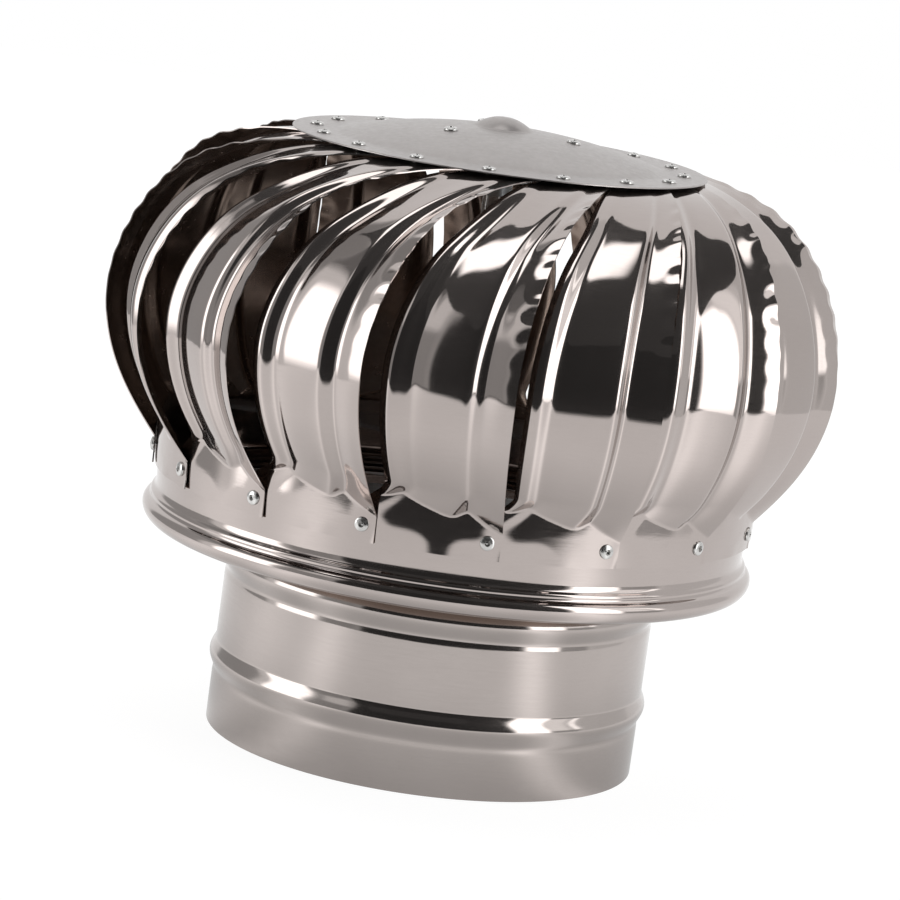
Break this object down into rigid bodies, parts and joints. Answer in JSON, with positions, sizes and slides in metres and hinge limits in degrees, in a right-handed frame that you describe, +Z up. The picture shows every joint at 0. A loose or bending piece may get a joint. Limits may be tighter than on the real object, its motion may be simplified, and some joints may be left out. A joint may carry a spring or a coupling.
{
  "type": "roof turbine ventilator",
  "caption": "Wind-driven roof ventilator: curved blades between a round cap and a rolled base ring spin on a fixed duct collar.",
  "frame": {"origin": "on the spin axis, level with the bottom rim of the neck", "axes": "+Z up along the spin axis; -Y is the side the picture was taken from, +X to its right"},
  "size_m": [0.3382, 0.3382, 0.2947],
  "materials": {
    "mirror_steel": "mirror-polished stainless sheet",
    "cap_steel": "satin stainless sheet",
    "neck_steel": "satin stainless sheet",
    "bracket_steel": "bright-drawn steel",
    "shaft_steel": "ground steel",
    "fastener_steel": "zinc-plated steel",
    "bearing_steel": "ground bearing steel",
    "rivet_aluminium": "bright aluminium"
  },
  "bodies": {
    "base": {"neck": "neck_steel", "neck_spider": "bracket_steel", "shaft": "shaft_steel", "shaft_nuts": "fastener_steel", "thrust_collar": "shaft_steel", "shaft_circlip": "fastener_steel", "bearing_inner_rings": "bearing_steel"},
    "turbine": {"bearing_outer_rings": "bearing_steel", "upper_bearing_housing": "bracket_steel", "lower_bearing_housing": "bracket_steel", "rotor_spider": "bracket_steel", "base_ring": "mirror_steel", "cap": "cap_steel", "ring_rivets": "rivet_aluminium", "cap_rivets": "rivet_aluminium", "hub_rivets": "rivet_aluminium", "blade_01": "mirror_steel", "blade_02": "mirror_steel", "blade_03": "mirror_steel", "blade_04": "mirror_steel", "blade_05": "mirror_steel", "blade_06": "mirror_steel", "blade_07": "mirror_steel", "blade_08": "mirror_steel", "blade_09": "mirror_steel", "blade_10": "mirror_steel", "blade_11": "mirror_steel", "blade_12": "mirror_steel", "blade_13": "mirror_steel", "blade_14": "mirror_steel", "blade_15": "mirror_steel", "blade_16": "mirror_steel"}
  },
  "joints": [
    {"name": "turbine_spin", "type": "hinge", "parent": "base", "child": "turbine", "pos_m": [0, 0, 0.2], "axis": [0, 0, 1], "continuous": true}
  ]
}
